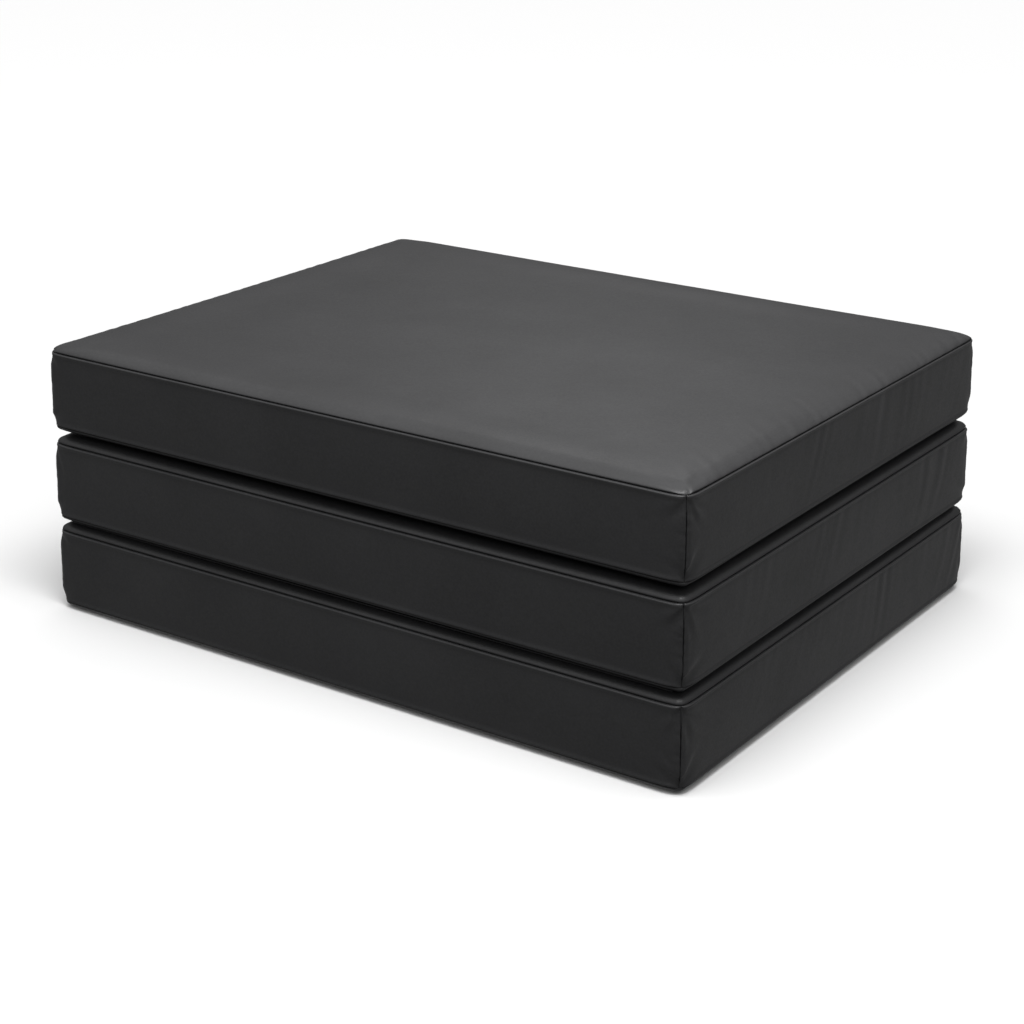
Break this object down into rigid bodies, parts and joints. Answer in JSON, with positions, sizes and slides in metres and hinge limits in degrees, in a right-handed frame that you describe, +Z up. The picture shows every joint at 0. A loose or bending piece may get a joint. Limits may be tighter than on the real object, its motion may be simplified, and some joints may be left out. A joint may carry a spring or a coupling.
{
  "type": "futon mattress",
  "caption": "Folding futon mattress of covered foam pads in a Z-fold stack, with fabric fold hinges and a zip in each cover's left end.",
  "frame": {"origin": "centre of the underside of the folded stack", "axes": "+X along the fold lines towards the plain short side, -X towards the zips, -Y towards the front fold, +Z up"},
  "size_m": [0.8053, 0.633, 0.3015],
  "materials": {
    "cover_cloth": "matte",
    "hinge_cloth": "matte",
    "foam": "matte",
    "zip_tape": "matte",
    "zip_coil": "satin",
    "zip_metal": "satin"
  },
  "bodies": {
    "lower_pad": {"lower_foam_core": "foam", "lower_top_panel": "cover_cloth", "lower_bottom_panel": "cover_cloth", "lower_front_boxing": "cover_cloth", "lower_right_boxing": "cover_cloth", "lower_back_boxing": "cover_cloth", "lower_left_boxing_above_zip": "cover_cloth", "lower_left_boxing_below_zip": "cover_cloth", "lower_zip_tape_above": "zip_tape", "lower_zip_tape_below": "zip_tape", "lower_zip_coil_above": "zip_coil", "lower_zip_coil_below": "zip_coil", "lower_zip_stops": "zip_coil", "front_hinge_strip": "hinge_cloth"},
    "middle_pad": {"middle_foam_core": "foam", "middle_top_panel": "cover_cloth", "middle_bottom_panel": "cover_cloth", "middle_front_boxing": "cover_cloth", "middle_right_boxing": "cover_cloth", "middle_back_boxing": "cover_cloth", "middle_left_boxing_above_zip": "cover_cloth", "middle_left_boxing_below_zip": "cover_cloth", "middle_zip_tape_above": "zip_tape", "middle_zip_tape_below": "zip_tape", "middle_zip_coil_above": "zip_coil", "middle_zip_coil_below": "zip_coil", "middle_zip_stops": "zip_coil", "back_hinge_strip": "hinge_cloth"},
    "upper_pad": {"upper_foam_core": "foam", "upper_top_panel": "cover_cloth", "upper_bottom_panel": "cover_cloth", "upper_front_boxing": "cover_cloth", "upper_right_boxing": "cover_cloth", "upper_back_boxing": "cover_cloth", "upper_left_boxing_above_zip": "cover_cloth", "upper_left_boxing_below_zip": "cover_cloth", "upper_zip_tape_above": "zip_tape", "upper_zip_tape_below": "zip_tape", "upper_zip_coil_above": "zip_coil", "upper_zip_coil_below": "zip_coil", "upper_zip_stops": "zip_coil"},
    "lower_slider": {"lower_zip_slider": "zip_metal"},
    "lower_pull": {"lower_zip_pull": "zip_metal"},
    "middle_slider": {"middle_zip_slider": "zip_metal"},
    "middle_pull": {"middle_zip_pull": "zip_metal"},
    "upper_slider": {"upper_zip_slider": "zip_metal"},
    "upper_pull": {"upper_zip_pull": "zip_metal"}
  },
  "joints": [
    {"name": "front_fold", "type": "hinge", "parent": "lower_pad", "child": "middle_pad", "pos_m": [0, -0.31725, 0.09925], "axis": [1, 0, 0], "range_deg": [0, 180], "deforming": ["front_hinge_strip"]},
    {"name": "back_fold", "type": "hinge", "parent": "middle_pad", "child": "upper_pad", "pos_m": [0, 0.31725, 0.201], "axis": [-1, 0, 0], "range_deg": [0, 180], "deforming": ["back_hinge_strip"]},
    {"name": "lower_zip_slide", "type": "slide", "parent": "lower_pad", "child": "lower_slider", "axis": [0, 1, 0], "range_m": [0, 0.529]},
    {"name": "lower_pull_swing", "type": "hinge", "parent": "lower_slider", "child": "lower_pull", "pos_m": [-0.4034, -0.2647, 0.049], "axis": [0, 0, 1], "range_deg": [0, 170]},
    {"name": "middle_zip_slide", "type": "slide", "parent": "middle_pad", "child": "middle_slider", "axis": [0, 1, 0], "range_m": [0, 0.529]},
    {"name": "middle_pull_swing", "type": "hinge", "parent": "middle_slider", "child": "middle_pull", "pos_m": [-0.4034, -0.2647, 0.1495], "axis": [0, 0, 1], "range_deg": [0, 170]},
    {"name": "upper_zip_slide", "type": "slide", "parent": "upper_pad", "child": "upper_slider", "axis": [0, 1, 0], "range_m": [0, 0.529]},
    {"name": "upper_pull_swing", "type": "hinge", "parent": "upper_slider", "child": "upper_pull", "pos_m": [-0.4034, -0.2647, 0.2525], "axis": [0, 0, 1], "range_deg": [0, 170]}
  ]
}
